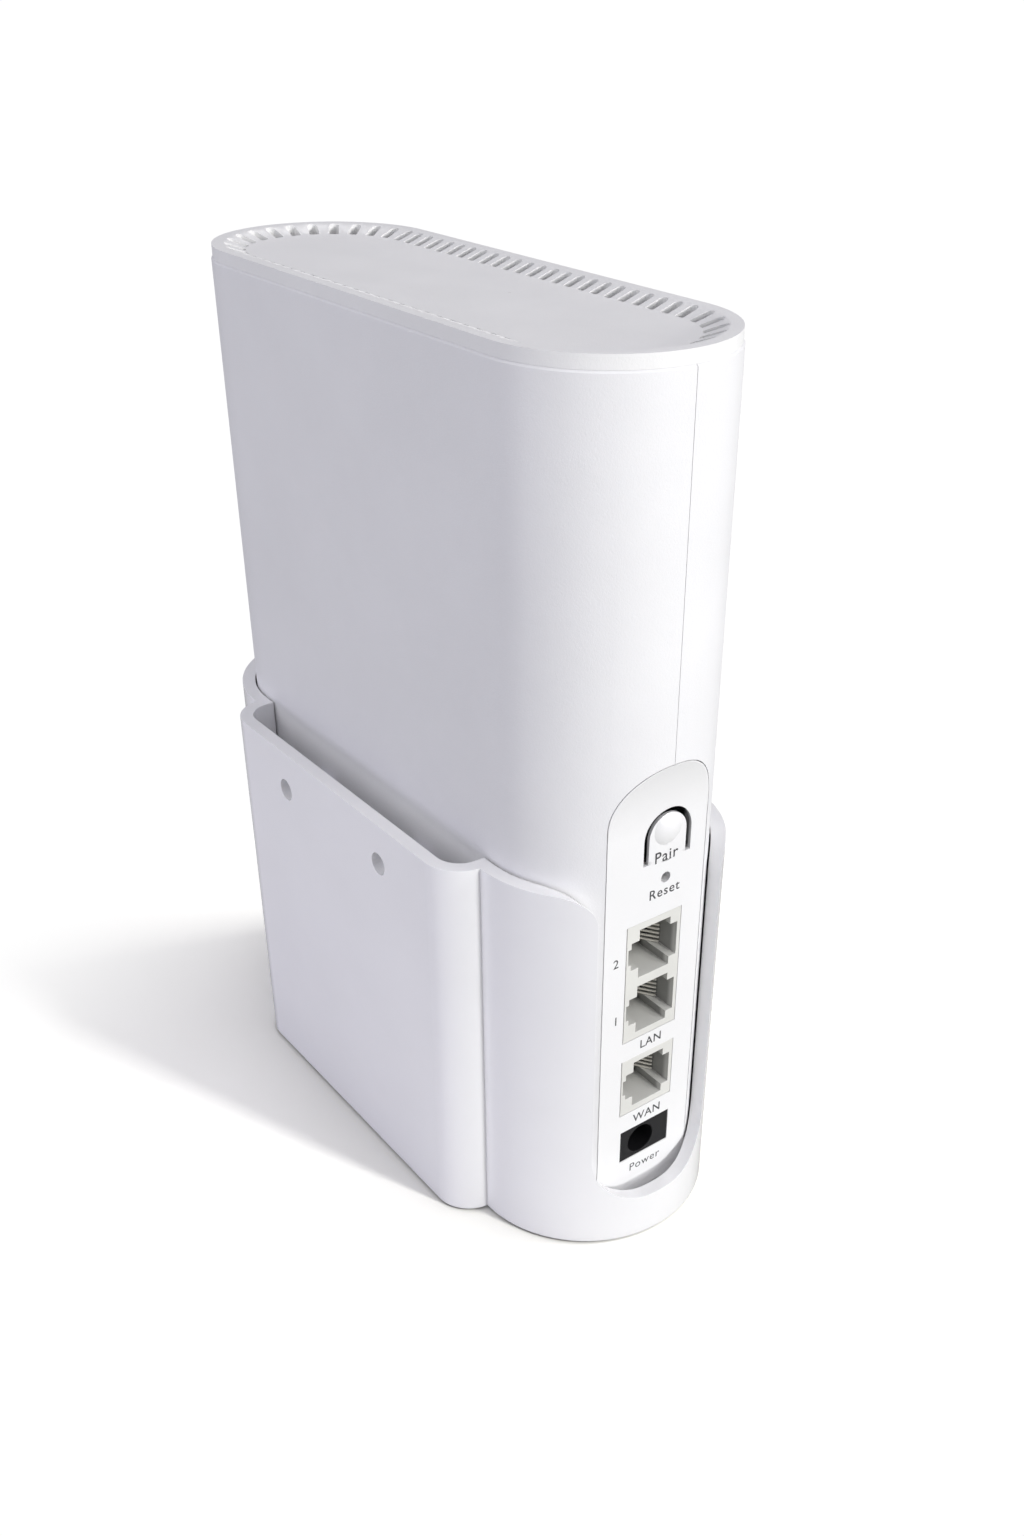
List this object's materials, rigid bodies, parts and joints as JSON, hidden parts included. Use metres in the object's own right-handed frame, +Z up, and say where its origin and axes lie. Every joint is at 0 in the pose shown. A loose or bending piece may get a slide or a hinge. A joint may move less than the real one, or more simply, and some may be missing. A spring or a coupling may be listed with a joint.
{
  "type": "tower router",
  "caption": "Upright stadium-section home router with a vented top and a port panel on one round end, standing in an open-topped wall cradle with a stand-off box.",
  "frame": {"origin": "centre of the bounding box, at the ground", "axes": "+X towards the port end, -Y towards the wall, +Z up"},
  "size_m": [0.1468, 0.0622, 0.1886],
  "materials": {
    "cradle_plastic": "glossy white ABS moulding",
    "shell_plastic": "fine spark-eroded matte white",
    "cap_plastic": "matte white",
    "base_plastic": "matte white",
    "foot_rubber": "grey rubber",
    "screw_steel": "zinc-plated",
    "panel_plastic": "satin white",
    "button_plastic": "satin white",
    "jack_plastic": "warm light grey",
    "dc_plastic": "black",
    "contact_gold": "gold flash",
    "nickel": "nickel plate",
    "board_laminate": "green solder mask",
    "chip_epoxy": "moulded epoxy",
    "pad_rubber": "blue-grey silicone pad",
    "sink_aluminium": "plain extrusion",
    "shield_steel": "tinned sheet",
    "transformer_plastic": "black moulding",
    "capacitor_sleeve": "shrink sleeve",
    "inductor_ferrite": "ferrite",
    "switch_plastic": "black",
    "plunger_plastic": "natural",
    "reset_plastic": "brown",
    "cable_jacket": "black jacket",
    "antenna_laminate": "teal solder mask",
    "label_film": "blank silver-grey film"
  },
  "bodies": {
    "cradle": {"wall_bracket": "cradle_plastic"},
    "modem": {"left_shell": "shell_plastic", "right_shell": "shell_plastic", "top_cap": "cap_plastic", "base_cover": "base_plastic", "rubber_feet": "foot_rubber", "base_screws": "screw_steel", "io_panel": "panel_plastic", "lan_jack": "jack_plastic", "wan_jack": "jack_plastic", "dc_jack": "dc_plastic", "jack_leads": "contact_gold", "dc_jack_pin": "nickel", "main_board": "board_laminate", "board_screws": "screw_steel", "processor": "chip_epoxy", "thermal_pad": "pad_rubber", "heat_sink": "sink_aluminium", "heat_sink_screws": "screw_steel", "memory_chips": "chip_epoxy", "rf_shields": "shield_steel", "lan_transformers": "transformer_plastic", "power_capacitors": "capacitor_sleeve", "power_inductor": "inductor_ferrite", "pairing_switch": "switch_plastic", "reset_switch": "switch_plastic", "coax_connectors": "contact_gold", "antenna_cables": "cable_jacket", "antenna_boards": "antenna_laminate", "rating_label": "label_film"},
    "pair_button": {"pairing_button": "button_plastic"},
    "pair_plunger": {"pairing_plunger": "plunger_plastic"},
    "reset_plunger": {"reset_plunger": "reset_plastic"},
    "lan2_springs": {"lan2_contacts": "contact_gold"},
    "lan1_springs": {"lan1_contacts": "contact_gold"},
    "wan_springs": {"wan_contacts": "contact_gold"},
    "dc_spring": {"dc_jack_spring": "nickel"}
  },
  "joints": [
    {"name": "lift_out", "type": "slide", "parent": "cradle", "child": "modem", "axis": [0, 0, 1], "range_m": [0, 0.095]},
    {"name": "pair_press", "type": "hinge", "parent": "modem", "child": "pair_button", "pos_m": [0.0657, 0.0063, 0.0916], "axis": [0, -1, 0], "range_deg": [0, 4]},
    {"name": "pair_plunger_slide", "type": "slide", "parent": "modem", "child": "pair_plunger", "axis": [-1, 0, 0], "range_m": [0, 0.00025]},
    {"name": "reset_press", "type": "slide", "parent": "modem", "child": "reset_plunger", "axis": [-1, 0, 0], "range_m": [0, 0.00025], "stiffness_N_per_m": 800},
    {"name": "lan2_flex", "type": "hinge", "parent": "modem", "child": "lan2_springs", "pos_m": [0.0613, 0.00975, 0.07105], "axis": [0, 0, -1], "range_deg": [0, 12]},
    {"name": "lan1_flex", "type": "hinge", "parent": "modem", "child": "lan1_springs", "pos_m": [0.0613, 0.00975, 0.0571], "axis": [0, 0, -1], "range_deg": [0, 12]},
    {"name": "wan_flex", "type": "hinge", "parent": "modem", "child": "wan_springs", "pos_m": [0.0613, 0.00975, 0.0372], "axis": [0, 0, -1], "range_deg": [0, 12]},
    {"name": "dc_flex", "type": "hinge", "parent": "modem", "child": "dc_spring", "pos_m": [0.0629, -0.0014, 0.0206], "axis": [0, 0, 1], "range_deg": [0, 5]}
  ],
  "couplings": [
    {"joint": "pair_press", "follows": "pair_plunger_slide", "rad_per_m": 279.2}
  ]
}
